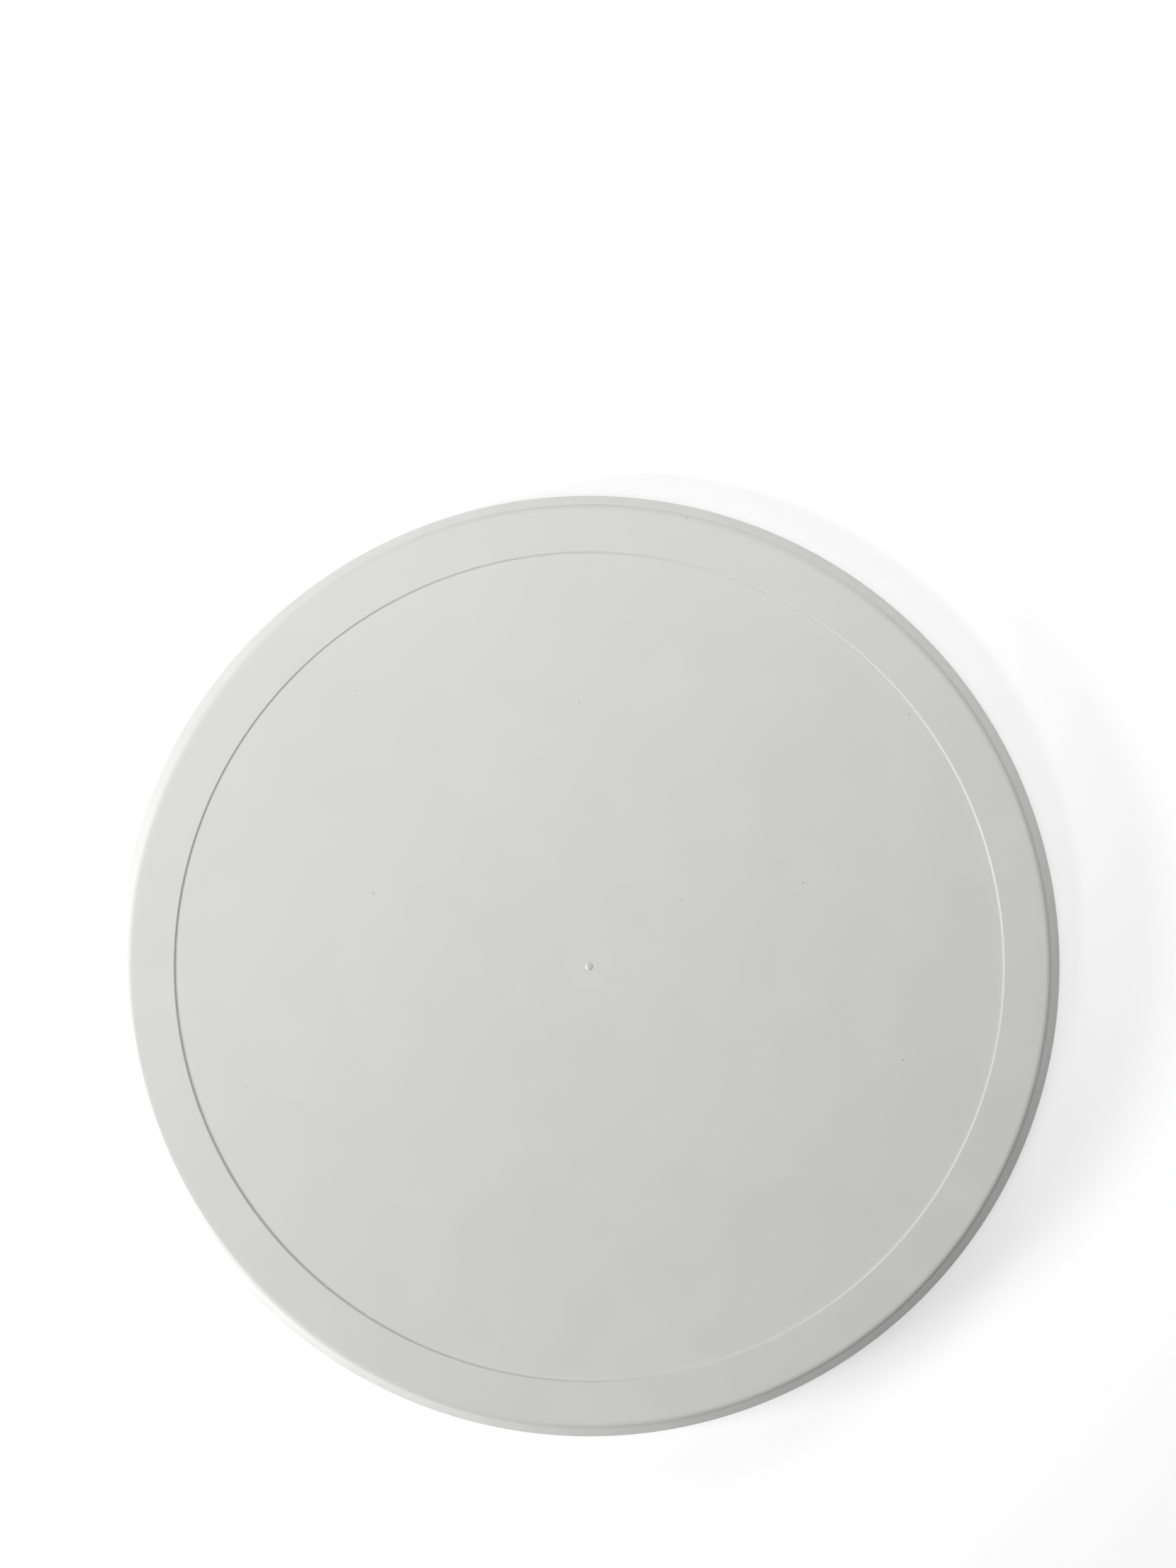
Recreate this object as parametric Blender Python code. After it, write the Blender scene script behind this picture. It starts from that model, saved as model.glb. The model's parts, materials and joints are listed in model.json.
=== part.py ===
"""A lazy susan turntable: a moulded plate that turns on a ring of steel balls above a low base.

Metres, +Z up. The origin is the centre of the surface that the rubber feet stand on.
"""

import math

import bmesh
import bpy
from mathutils import Matrix, Vector

MM = 0.001
GAP = 0.3 * MM  # clearance between pieces that touch

# The turntable plate
PLATE_RADIUS = 150 * MM
PLATE_TOP = 26.1 * MM
RECESS_DEPTH = 0.6 * MM
RECESS_RADIUS = 131.4 * MM  # where the recess's flat floor ends
RECESS_FILLET = 0.5 * MM  # concave, at the foot of the step
RECESS_EDGE_ROUND = 0.35 * MM  # convex, at the top of the step
STEP_SLOPE = 60  # degrees, the step's steepest slope
RIM_OUTER_RADIUS = 145 * MM  # where the shoulder starts
SHOULDER_ROUND = 2.1 * MM
SKIRT_DRAFT = 12.5  # degrees from upright
SKIRT_BOTTOM = 11.5 * MM
SKIRT_EDGE_ROUND = 0.5 * MM
SKIRT_WALL = 2.4 * MM
PLATE_WALL = 2.6 * MM
UNDERSIDE_CHAMFER = 1 * MM
GATE_RADIUS = 1.3 * MM  # the low stub that the moulding gate leaves in the middle
GATE_TOP_RADIUS = 0.8 * MM
GATE_HEIGHT = 0.3 * MM
PLATE_RIBS = 12
PLATE_RIB_WIDTH = 1.8 * MM
PLATE_RIB_BOTTOM = 20.2 * MM
PLATE_HOOP_RADIUS = 110 * MM  # a round rib outside the race
PLATE_HOOP_BOTTOM = 20.5 * MM
INNER_HOOP_RADIUS = 40 * MM
INNER_HOOP_BOTTOM = 20.4 * MM
INNER_RIB_BOTTOM = 20.8 * MM
PLATE_RIB_ROOT = 25.2 * MM  # inside the plate, just below its top surface
RIB_TO_CAGE = 3 * MM  # room between the cage's edges and the ends of the ribs
PLATE_RIB_REACH = 1.7 * MM  # how far the outer ribs pass the rim's edge, into the skirt
RIB_END_SLOPE = 3 * MM  # how much longer a rib is at its root than at its free edge

# The ball race
BALLS = 12
BALL_RADIUS = 4 * MM
BALL_CIRCLE = 75 * MM
RACE_RIB_WIDTH = 1.8 * MM
RACE_RIB_HEIGHT = 2 * MM

# The cage
CAGE_THICKNESS = 2.4 * MM
CAGE_INNER_RADIUS = 67 * MM
CAGE_OUTER_RADIUS = 83 * MM
CAGE_LIP_WIDTH = 1.5 * MM
CAGE_LIP_HEIGHT = 4.8 * MM

# The base plate
BASE_RADIUS = 102.5 * MM
BASE_DECK_RADIUS = 100.5 * MM
BASE_WALL = 2.2 * MM
DECK_THICKNESS = 2.5 * MM
DECK_EDGE_ROUND = 1.5 * MM
BASE_BOTTOM = 2.8 * MM
RACE_HOOP_BOTTOM = 9.4 * MM
WELL_INNER_RADIUS = 13 * MM
WELL_OUTER_RADIUS = 15 * MM
WELL_BOTTOM = 2.6 * MM
BASE_RIB_WIDTH = 2 * MM
BASE_RIB_BOTTOM = 9.8 * MM
SUNK = 1 * MM  # how far a rib or a tube reaches into the wall that it joins

# The pivot
SPIGOT_RADIUS = 6 * MM
SPIGOT_BOTTOM = 7.9 * MM
COLLAR_RADIUS = 10 * MM
COLLAR_BOTTOM = 18.6 * MM
PILOT_RADIUS = 1.65 * MM
PILOT_TOP = 19.5 * MM
HUB_TOP = 16 * MM
HUB_BOTTOM = 9 * MM
HUB_OUTER_RADIUS = 11 * MM
BUSH_WALL = 1.7 * MM
BUSH_FLANGE = 1.3 * MM
WEAR_WASHER_THICKNESS = 0.8 * MM
WEAR_WASHER_HOLE = 6.4 * MM
WEAR_WASHER_RADIUS = 10.5 * MM
STEEL_WASHER_THICKNESS = 1.2 * MM
STEEL_WASHER_RADIUS = 10 * MM
STEEL_WASHER_HOLE = 1.8 * MM
SCREW_RADIUS = 1.35 * MM
SCREW_TOP = 17 * MM
SCREW_HEAD_RADIUS = 3.5 * MM
SCREW_HEAD_HEIGHT = 2.1 * MM
SCREW_SLOT_WIDTH = 0.8 * MM
SCREW_SLOT_LENGTH = 3.8 * MM
SCREW_SLOT_DEPTH = 1.2 * MM
SCREW_SLOT_TURN = 7.5  # degrees
SCREW_POINT = 1.5 * MM
SCREW_POINT_RADIUS = 0.55 * MM
SCREW_CROWN = 0.9 * MM
CAP_RADIUS = 14.6 * MM
CAP_BOTTOM = 0.9 * MM
CAP_THICKNESS = 1.4 * MM
CAP_PLUG_HEIGHT = 3.6 * MM
CAP_PLUG_WALL = 1.8 * MM
CAP_CHAMFER = 0.5 * MM

# The feet
FEET = 6
FOOT_CIRCLE = 88 * MM
FOOT_RADIUS = 9.2 * MM
FOOT_HEAD = 2.2 * MM
FOOT_PLUG_RADIUS = 6.9 * MM
FOOT_TOP = 8 * MM
FOOT_CHAMFER = 0.6 * MM
SOCKET_WALL = 2 * MM

ROUND = 48  # sides of the large turned pieces
SMALL_ROUND = 24  # sides of the pivot's pieces
SOCKET_ROUND = 16
POCKET_ROUND = 16
FOOT_ROUND = 16
SHARP_ANGLE = 35  # degrees, above which an edge is shaded sharp
WELD = 0.001 * MM

# Heights that follow from the ones above
RECESS_FLOOR = PLATE_TOP - RECESS_DEPTH
PLATE_UNDERSIDE = RECESS_FLOOR - PLATE_WALL
BALL_HEIGHT = PLATE_UNDERSIDE - BALL_RADIUS
DECK_TOP = BALL_HEIGHT - BALL_RADIUS
DECK_UNDERSIDE = DECK_TOP - DECK_THICKNESS
BUSH_BORE = SPIGOT_RADIUS + GAP
HUB_BORE = BUSH_BORE + BUSH_WALL + GAP
SOCKET_RADIUS = FOOT_PLUG_RADIUS + GAP


def plain_material(name, color, roughness, metallic=0.0):
    """A Principled BSDF of one colour."""
    material = bpy.data.materials.new(name)
    material.use_nodes = True
    shader = material.node_tree.nodes["Principled BSDF"]
    shader.inputs["Base Color"].default_value = (*color, 1)
    shader.inputs["Roughness"].default_value = roughness
    shader.inputs["Metallic"].default_value = metallic
    return material


def arc(radius_at, height_at, radius, start, end, steps):
    """Points (radius, height) along an arc from one angle to another, in degrees."""
    angles = [math.radians(start + (end - start) * i / steps) for i in range(steps + 1)]
    return [(radius_at + radius * math.cos(a), height_at + radius * math.sin(a)) for a in angles]


def add_object(name, mesh, material, parent=None):
    mesh.materials.append(material)
    mesh.shade_smooth()
    mesh.set_sharp_from_angle(angle=math.radians(SHARP_ANGLE))
    item = bpy.data.objects.new(name, mesh)
    item.parent = parent
    bpy.context.scene.collection.objects.link(item)
    return item


def mesh_from(bm, name):
    bmesh.ops.recalc_face_normals(bm, faces=bm.faces)
    mesh = bpy.data.meshes.new(name)
    bm.to_mesh(mesh)
    bm.free()
    return mesh


def turned_mesh(name, outline, sides):
    """The outline turned about Z. An outline that starts on the axis also ends on it."""
    bm = bmesh.new()
    points = [bm.verts.new((radius, 0, height)) for radius, height in outline]
    edges = [bm.edges.new(pair) for pair in zip(points, points[1:])]
    if outline[0][0] > 0:
        edges.append(bm.edges.new((points[-1], points[0])))
    bmesh.ops.spin(
        bm,
        geom=points + edges,
        axis=(0, 0, 1),
        cent=(0, 0, 0),
        angle=math.tau,
        steps=sides,
        use_merge=True,
    )
    bmesh.ops.remove_doubles(bm, verts=bm.verts, dist=WELD)
    return mesh_from(bm, name)


def ring_outline(inner, outer, bottom, top):
    return [(inner, top), (outer, top), (outer, bottom), (inner, bottom)]


def add_prism(bm, corners, width, turn):
    """A flat plate standing on edge: corners are (radius, height), turn is its direction about Z."""
    near = [bm.verts.new((r, -width / 2, z)) for r, z in corners]
    far = [bm.verts.new((r, width / 2, z)) for r, z in corners]
    bm.faces.new(near)
    bm.faces.new(list(reversed(far)))
    for i, corner in enumerate(near):
        following = (i + 1) % len(near)
        bm.faces.new((corner, far[i], far[following], near[following]))
    rotation = Matrix.Rotation(turn, 3, "Z")
    bmesh.ops.rotate(bm, verts=near + far, cent=(0, 0, 0), matrix=rotation)


def add_turned(bm, outline, sides, center):
    """A turned ring added to a bmesh, about an upright axis through center."""
    mesh = turned_mesh("ring", outline, sides)
    mesh.transform(Matrix.Translation(center))
    bm.from_mesh(mesh)
    bpy.data.meshes.remove(mesh)


def add_guide(target, bm, name, operation, material):
    """Joins a bmesh to an object, or cuts it away, with an exact Boolean."""
    guide = add_object(name, mesh_from(bm, name), material)
    guide.hide_render = True
    guide.display_type = "WIRE"
    modifier = target.modifiers.new(name, "BOOLEAN")
    modifier.operation = operation
    modifier.solver = "EXACT"
    modifier.object = guide


def around(count, radius, height):
    """Evenly spaced places on a circle, with each one's direction about Z."""
    for i in range(count):
        turn = math.tau * i / count
        yield turn, Vector((radius * math.cos(turn), radius * math.sin(turn), height))


def plate_top_outline():
    """From the gate mark in the middle to the foot of the skirt."""
    step_start = 270 + STEP_SLOPE
    foot_of_step = arc(RECESS_RADIUS, RECESS_FLOOR + RECESS_FILLET, RECESS_FILLET, 270, step_start, 3)
    slope = math.radians(STEP_SLOPE)
    edge_radius = foot_of_step[-1][0] + RECESS_EDGE_ROUND * math.sin(slope)
    edge_center = PLATE_TOP - RECESS_EDGE_ROUND
    top_of_step = arc(edge_radius, edge_center, RECESS_EDGE_ROUND, 90 + STEP_SLOPE, 90, 2)
    shoulder = arc(RIM_OUTER_RADIUS, PLATE_TOP - SHOULDER_ROUND, SHOULDER_ROUND, 90, SKIRT_DRAFT, 4)
    edge = arc(
        PLATE_RADIUS - SKIRT_EDGE_ROUND,
        SKIRT_BOTTOM + SKIRT_EDGE_ROUND,
        SKIRT_EDGE_ROUND,
        0,
        -90,
        2,
    )
    gate_top = RECESS_FLOOR + GATE_HEIGHT
    gate = [(0, gate_top), (GATE_TOP_RADIUS, gate_top), (GATE_RADIUS, RECESS_FLOOR)]
    return gate + foot_of_step + top_of_step[1:] + shoulder + edge


def hoop_outline(radius, top, bottom):
    """A round rib's section below a flat underside, taken from outside to inside."""
    half = PLATE_RIB_WIDTH / 2
    return [(radius + half, top), (radius + half, bottom), (radius - half, bottom), (radius - half, top)]


def race_outline(surface, direction):
    """A race's section from outside to inside: two low ribs with the ball's groove between them."""
    reach = BALL_RADIUS + GAP
    crown = surface - direction * RACE_RIB_HEIGHT
    start = math.degrees(math.asin(abs(crown - BALL_HEIGHT) / reach))
    groove = arc(BALL_CIRCLE, BALL_HEIGHT, reach, direction * start, direction * (180 - start), 5)
    outside = groove[0][0] + RACE_RIB_WIDTH
    inside = groove[-1][0] - RACE_RIB_WIDTH
    return [(outside, surface), (outside, crown)] + groove + [(inside, crown), (inside, surface)]


def plate_underside_outline():
    """From the foot of the skirt back to the screw's pilot hole in the spigot."""
    skirt_lean = math.tan(math.radians(SKIRT_DRAFT))
    inner_foot = PLATE_RADIUS - SKIRT_WALL
    rim_underside = PLATE_TOP - PLATE_WALL
    skirt_rise = rim_underside - SKIRT_BOTTOM
    inner_head = inner_foot - skirt_lean * skirt_rise
    step_radius = RECESS_RADIUS + PLATE_WALL
    return (
        [
            (inner_foot, SKIRT_BOTTOM),
            (inner_head, rim_underside - UNDERSIDE_CHAMFER),
            (inner_head - UNDERSIDE_CHAMFER, rim_underside),
            (step_radius, rim_underside),
            (step_radius - RECESS_DEPTH, PLATE_UNDERSIDE),
        ]
        + hoop_outline(PLATE_HOOP_RADIUS, PLATE_UNDERSIDE, PLATE_HOOP_BOTTOM)
        + race_outline(PLATE_UNDERSIDE, 1)
        + hoop_outline(INNER_HOOP_RADIUS, PLATE_UNDERSIDE, INNER_HOOP_BOTTOM)
        + [
            (COLLAR_RADIUS, PLATE_UNDERSIDE),
            (COLLAR_RADIUS, COLLAR_BOTTOM),
            (SPIGOT_RADIUS, COLLAR_BOTTOM),
            (SPIGOT_RADIUS, SPIGOT_BOTTOM),
            (PILOT_RADIUS, SPIGOT_BOTTOM),
            (PILOT_RADIUS, PILOT_TOP),
            (0, PILOT_TOP),
        ]
    )


def make_turntable_plate(material, parent):
    """The plate that turns: recess, rim and skirt, and below them ribs, race and spigot."""
    outline = plate_top_outline() + plate_underside_outline()
    plate = add_object("turntable_plate", turned_mesh("turntable_plate", outline, ROUND), material, parent)
    inner_start = COLLAR_RADIUS - SUNK
    inner_end = CAGE_INNER_RADIUS - RIB_TO_CAGE
    inner_rib = [
        (inner_start, PLATE_RIB_ROOT),
        (inner_start, INNER_RIB_BOTTOM),
        (inner_end - RIB_END_SLOPE, INNER_RIB_BOTTOM),
        (inner_end, PLATE_RIB_ROOT),
    ]
    outer_start = CAGE_OUTER_RADIUS + RIB_TO_CAGE
    outer_end = RIM_OUTER_RADIUS + PLATE_RIB_REACH
    outer_rib = [
        (outer_start, PLATE_RIB_ROOT),
        (outer_start + RIB_END_SLOPE, PLATE_RIB_BOTTOM),
        (outer_end, PLATE_RIB_BOTTOM),
        (outer_end, PLATE_RIB_ROOT),
    ]
    ribs = bmesh.new()
    for i in range(PLATE_RIBS):
        turn = math.tau * (i + 0.5) / PLATE_RIBS
        add_prism(ribs, inner_rib, PLATE_RIB_WIDTH, turn)
        add_prism(ribs, outer_rib, PLATE_RIB_WIDTH, turn)
    add_guide(plate, ribs, "plate_ribs_guide", "UNION", material)


def base_outline():
    """The base's section: hub, deck with its race, outer wall, and the round walls under the deck."""
    deck_edge = arc(
        BASE_DECK_RADIUS - DECK_EDGE_ROUND, DECK_TOP - DECK_EDGE_ROUND, DECK_EDGE_ROUND, 90, 10, 3
    )
    inner_head = BASE_DECK_RADIUS - BASE_WALL
    hoop = hoop_outline(BALL_CIRCLE, DECK_UNDERSIDE, RACE_HOOP_BOTTOM)
    return (
        [(HUB_BORE, HUB_TOP), (HUB_OUTER_RADIUS, HUB_TOP), (HUB_OUTER_RADIUS, DECK_TOP)]
        + list(reversed(race_outline(DECK_TOP, -1)))
        + deck_edge
        + [
            (BASE_RADIUS, BASE_BOTTOM),
            (BASE_RADIUS - BASE_WALL, BASE_BOTTOM),
            (inner_head, DECK_UNDERSIDE),
        ]
        + hoop
        + [
            (WELL_OUTER_RADIUS, DECK_UNDERSIDE),
            (WELL_OUTER_RADIUS, WELL_BOTTOM),
            (WELL_INNER_RADIUS, WELL_BOTTOM),
            (WELL_INNER_RADIUS, DECK_UNDERSIDE),
            (HUB_OUTER_RADIUS, DECK_UNDERSIDE),
            (HUB_OUTER_RADIUS, HUB_BOTTOM),
            (HUB_BORE, HUB_BOTTOM),
        ]
    )


def make_base_plate(material):
    """The base that stands still, with a socket tube and a rib for each foot."""
    base = add_object("base_plate", turned_mesh("base_plate", base_outline(), ROUND), material)
    root = DECK_UNDERSIDE + SUNK
    socket_outer = SOCKET_RADIUS + SOCKET_WALL
    tube = ring_outline(SOCKET_RADIUS, socket_outer, FOOT_HEAD + GAP, root)
    to_socket = FOOT_CIRCLE - socket_outer + SUNK
    from_socket = FOOT_CIRCLE + socket_outer - SUNK
    long_rib = ring_outline(WELL_OUTER_RADIUS - SUNK, to_socket, BASE_RIB_BOTTOM, root)
    short_rib = ring_outline(from_socket, BASE_DECK_RADIUS - SUNK, BASE_RIB_BOTTOM, root)
    tubes = bmesh.new()
    ribs = bmesh.new()
    for turn, place in around(FEET, FOOT_CIRCLE, 0):
        add_turned(tubes, tube, SOCKET_ROUND, place)
        add_prism(ribs, long_rib, BASE_RIB_WIDTH, turn)
        add_prism(ribs, short_rib, BASE_RIB_WIDTH, turn)
    add_guide(base, tubes, "foot_sockets_guide", "UNION", material)
    add_guide(base, ribs, "base_ribs_guide", "UNION", material)


def make_ball_cage(material, parent):
    """A flat ring with a lip along each edge and a round pocket for each ball."""
    flat_top = BALL_HEIGHT + CAGE_THICKNESS / 2
    flat_bottom = BALL_HEIGHT - CAGE_THICKNESS / 2
    lip_top = BALL_HEIGHT + CAGE_LIP_HEIGHT / 2
    lip_bottom = BALL_HEIGHT - CAGE_LIP_HEIGHT / 2
    inner_lip = CAGE_INNER_RADIUS + CAGE_LIP_WIDTH
    outer_lip = CAGE_OUTER_RADIUS - CAGE_LIP_WIDTH
    outline = [
        (CAGE_INNER_RADIUS, lip_top),
        (inner_lip, lip_top),
        (inner_lip, flat_top),
        (outer_lip, flat_top),
        (outer_lip, lip_top),
        (CAGE_OUTER_RADIUS, lip_top),
        (CAGE_OUTER_RADIUS, lip_bottom),
        (outer_lip, lip_bottom),
        (outer_lip, flat_bottom),
        (inner_lip, flat_bottom),
        (inner_lip, lip_bottom),
        (CAGE_INNER_RADIUS, lip_bottom),
    ]
    cage = add_object("ball_cage", turned_mesh("ball_cage", outline, ROUND), material, parent)
    pocket = BALL_RADIUS + GAP
    pockets = bmesh.new()
    for turn, place in around(BALLS, BALL_CIRCLE, BALL_HEIGHT):
        bmesh.ops.create_cone(
            pockets,
            cap_ends=True,
            segments=POCKET_ROUND,
            radius1=pocket,
            radius2=pocket,
            depth=2 * CAGE_THICKNESS,
            matrix=Matrix.Translation(place) @ Matrix.Rotation(turn, 4, "Z"),
        )
    add_guide(cage, pockets, "pockets_cutter", "DIFFERENCE", material)


def make_balls(material, parent):
    """Each ball has its own origin at its centre, with its local X pointing outward."""
    bm = bmesh.new()
    bmesh.ops.create_uvsphere(bm, u_segments=12, v_segments=8, radius=BALL_RADIUS)
    mesh = mesh_from(bm, "ball")
    mesh.materials.append(material)
    mesh.shade_smooth()
    for number, (turn, place) in enumerate(around(BALLS, BALL_CIRCLE, BALL_HEIGHT), 1):
        ball = bpy.data.objects.new(f"ball_{number:02d}", mesh)
        ball.parent = parent
        ball.location = place
        ball.rotation_euler.z = turn
        bpy.context.scene.collection.objects.link(ball)


def make_pivot_bush(material):
    """A flanged sleeve in the base's hub."""
    outer = BUSH_BORE + BUSH_WALL
    flange_bottom = HUB_TOP + GAP
    outline = [
        (BUSH_BORE, flange_bottom + BUSH_FLANGE),
        (HUB_OUTER_RADIUS, flange_bottom + BUSH_FLANGE),
        (HUB_OUTER_RADIUS, flange_bottom),
        (outer, flange_bottom),
        (outer, HUB_BOTTOM),
        (BUSH_BORE, HUB_BOTTOM),
    ]
    add_object("pivot_bush", turned_mesh("pivot_bush", outline, SMALL_ROUND), material)


def make_wear_washer(material):
    """A plain washer between the hub and the steel washer."""
    top = HUB_BOTTOM - GAP
    outline = ring_outline(WEAR_WASHER_HOLE, WEAR_WASHER_RADIUS, top - WEAR_WASHER_THICKNESS, top)
    add_object("wear_washer", turned_mesh("wear_washer", outline, SMALL_ROUND), material)


def make_retaining_washer(material, parent):
    """The steel washer that holds the plate on the base."""
    top = SPIGOT_BOTTOM - GAP
    outline = ring_outline(STEEL_WASHER_HOLE, STEEL_WASHER_RADIUS, top - STEEL_WASHER_THICKNESS, top)
    mesh = turned_mesh("retaining_washer", outline, SMALL_ROUND)
    add_object("retaining_washer", mesh, material, parent)


def make_center_screw(material, parent):
    """A pan-head screw, head down, with a cross recess."""
    head_top = SPIGOT_BOTTOM - 2 * GAP - STEEL_WASHER_THICKNESS
    head_bottom = head_top - SCREW_HEAD_HEIGHT
    outline = [
        (0, SCREW_TOP),
        (SCREW_POINT_RADIUS, SCREW_TOP),
        (SCREW_RADIUS, SCREW_TOP - SCREW_POINT),
        (SCREW_RADIUS, head_top),
        (SCREW_HEAD_RADIUS, head_top),
        (SCREW_HEAD_RADIUS, head_bottom + SCREW_CROWN),
        (SCREW_HEAD_RADIUS - SCREW_CROWN, head_bottom),
        (0, head_bottom),
    ]
    screw = add_object("center_screw", turned_mesh("center_screw", outline, SMALL_ROUND), material, parent)
    reach = SCREW_SLOT_LENGTH / 2
    for arm in range(2):
        slot = bmesh.new()
        corners = ring_outline(-reach, reach, head_bottom - SUNK, head_bottom + SCREW_SLOT_DEPTH)
        add_prism(slot, corners, SCREW_SLOT_WIDTH, math.radians(90 * arm + SCREW_SLOT_TURN))
        add_guide(screw, slot, f"screw_slot_{arm + 1}_cutter", "DIFFERENCE", material)


def make_center_cap(material):
    """A push-in cap that closes the screw's well."""
    disc_top = CAP_BOTTOM + CAP_THICKNESS
    plug_outer = WELL_INNER_RADIUS - GAP
    outline = [
        (0, disc_top),
        (plug_outer - CAP_PLUG_WALL, disc_top),
        (plug_outer - CAP_PLUG_WALL, disc_top + CAP_PLUG_HEIGHT),
        (plug_outer - CAP_CHAMFER, disc_top + CAP_PLUG_HEIGHT),
        (plug_outer, disc_top + CAP_PLUG_HEIGHT - CAP_CHAMFER),
        (plug_outer, disc_top),
        (CAP_RADIUS, disc_top),
        (CAP_RADIUS, CAP_BOTTOM + CAP_CHAMFER),
        (CAP_RADIUS - CAP_CHAMFER, CAP_BOTTOM),
        (0, CAP_BOTTOM),
    ]
    add_object("center_cap", turned_mesh("center_cap", outline, SMALL_ROUND), material)


def make_feet(material):
    """Rubber feet, each with its plug pushed into a socket under the base."""
    outline = [
        (0, FOOT_TOP),
        (FOOT_PLUG_RADIUS - FOOT_CHAMFER, FOOT_TOP),
        (FOOT_PLUG_RADIUS, FOOT_TOP - FOOT_CHAMFER),
        (FOOT_PLUG_RADIUS, FOOT_HEAD),
        (FOOT_RADIUS, FOOT_HEAD),
        (FOOT_RADIUS, FOOT_CHAMFER),
        (FOOT_RADIUS - FOOT_CHAMFER, 0),
        (0, 0),
    ]
    for number, (_, place) in enumerate(around(FEET, FOOT_CIRCLE, 0), 1):
        name = f"foot_{number:02d}"
        foot = add_object(name, turned_mesh(name, outline, FOOT_ROUND), material)
        foot.location = place


def add_axis(name):
    """An empty on the turning axis, which carries what turns."""
    axis = bpy.data.objects.new(name, None)
    bpy.context.scene.collection.objects.link(axis)
    return axis


def build():
    for item in list(bpy.data.objects):
        bpy.data.objects.remove(item)

    white_plastic = plain_material("white_plastic", (0.80, 0.80, 0.785), 0.32)
    base_plastic = plain_material("base_plastic", (0.74, 0.74, 0.73), 0.45)
    cage_plastic = plain_material("cage_plastic", (0.80, 0.78, 0.70), 0.4)
    bush_plastic = plain_material("bush_plastic", (0.78, 0.77, 0.70), 0.38)
    ball_steel = plain_material("ball_steel", (0.72, 0.73, 0.74), 0.12, 1.0)
    zinc_steel = plain_material("zinc_steel", (0.62, 0.63, 0.65), 0.35, 1.0)
    foot_rubber = plain_material("foot_rubber", (0.06, 0.06, 0.063), 0.75)

    turntable_axis = add_axis("turntable_axis")
    cage_axis = add_axis("cage_axis")

    make_turntable_plate(white_plastic, turntable_axis)
    make_retaining_washer(zinc_steel, turntable_axis)
    make_center_screw(zinc_steel, turntable_axis)
    make_ball_cage(cage_plastic, cage_axis)
    make_balls(ball_steel, cage_axis)
    make_base_plate(base_plastic)
    make_pivot_bush(bush_plastic)
    make_wear_washer(bush_plastic)
    make_center_cap(base_plastic)
    make_feet(foot_rubber)


build()
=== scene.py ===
"""A lazy susan turntable: the finished pieces and their materials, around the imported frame.

Metres, +Z up. Every piece is turned or placed from the boxes of the frame's nodes.
"""

import json
import math

import bmesh
import bpy
from mathutils import Matrix, Vector


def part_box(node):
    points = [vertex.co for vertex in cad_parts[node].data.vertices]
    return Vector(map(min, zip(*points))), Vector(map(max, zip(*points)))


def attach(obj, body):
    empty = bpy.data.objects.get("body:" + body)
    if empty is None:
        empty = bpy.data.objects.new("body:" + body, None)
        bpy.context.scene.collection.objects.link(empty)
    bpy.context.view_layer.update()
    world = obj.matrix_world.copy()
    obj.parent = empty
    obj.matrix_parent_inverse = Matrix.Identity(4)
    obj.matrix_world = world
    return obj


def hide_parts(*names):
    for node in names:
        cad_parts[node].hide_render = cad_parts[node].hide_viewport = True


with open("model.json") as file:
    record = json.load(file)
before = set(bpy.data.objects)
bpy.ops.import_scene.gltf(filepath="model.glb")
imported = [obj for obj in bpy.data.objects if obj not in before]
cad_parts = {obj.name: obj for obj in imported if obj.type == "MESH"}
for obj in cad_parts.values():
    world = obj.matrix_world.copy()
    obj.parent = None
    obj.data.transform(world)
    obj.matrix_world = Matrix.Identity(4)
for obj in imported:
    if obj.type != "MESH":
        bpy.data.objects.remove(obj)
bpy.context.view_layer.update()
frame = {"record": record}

MM = 0.001
SIDES = 192  # of the large turned pieces
SMALL_SIDES = 96  # of the pivot's pieces and the feet
SCREW_SIDES = 48
SCREW_PITCH = 1.25 * MM
ARC_STEP = 12  # degrees that one step of a rounded corner turns at most
SHARP_ANGLE = 40  # degrees, above which an edge is shaded sharp
WELD = 0.0005 * MM


# ---------------------------------------------------------------- sizes from the frame


class Extent:
    """A turned node's box, read as a radius, two heights and the place of its axis."""

    def __init__(self, node):
        low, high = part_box(node)
        self.radius = (high[0] - low[0]) / 2
        self.bottom = low[2]
        self.top = high[2]
        self.place = Vector(((low[0] + high[0]) / 2, (low[1] + high[1]) / 2, 0))


def mount_height(name):
    heights = [m["pos_m"][2] for m in frame["record"]["mounts"] if m["name"] == name]
    return heights[0]


plate = Extent("turntable_plate")
base = Extent("base_plate")
cage = Extent("ball_cage")
bush = Extent("pivot_bush")
wear_washer = Extent("wear_washer")
steel_washer = Extent("retaining_washer")
screw = Extent("center_screw")
cap = Extent("center_cap")
foot = Extent("foot_01")
ball = Extent("ball_01")

BALLS = 12
BALL_CIRCLE = ball.place.length
BALL_HEIGHT = (ball.top + ball.bottom) / 2
BALL_RADIUS = (ball.top - ball.bottom) / 2
BALL_GAP = 0.06 * MM
FEET = 6
FOOT_CIRCLE = foot.place.length
RECESS_FLOOR = mount_height("recess_top")

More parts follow.
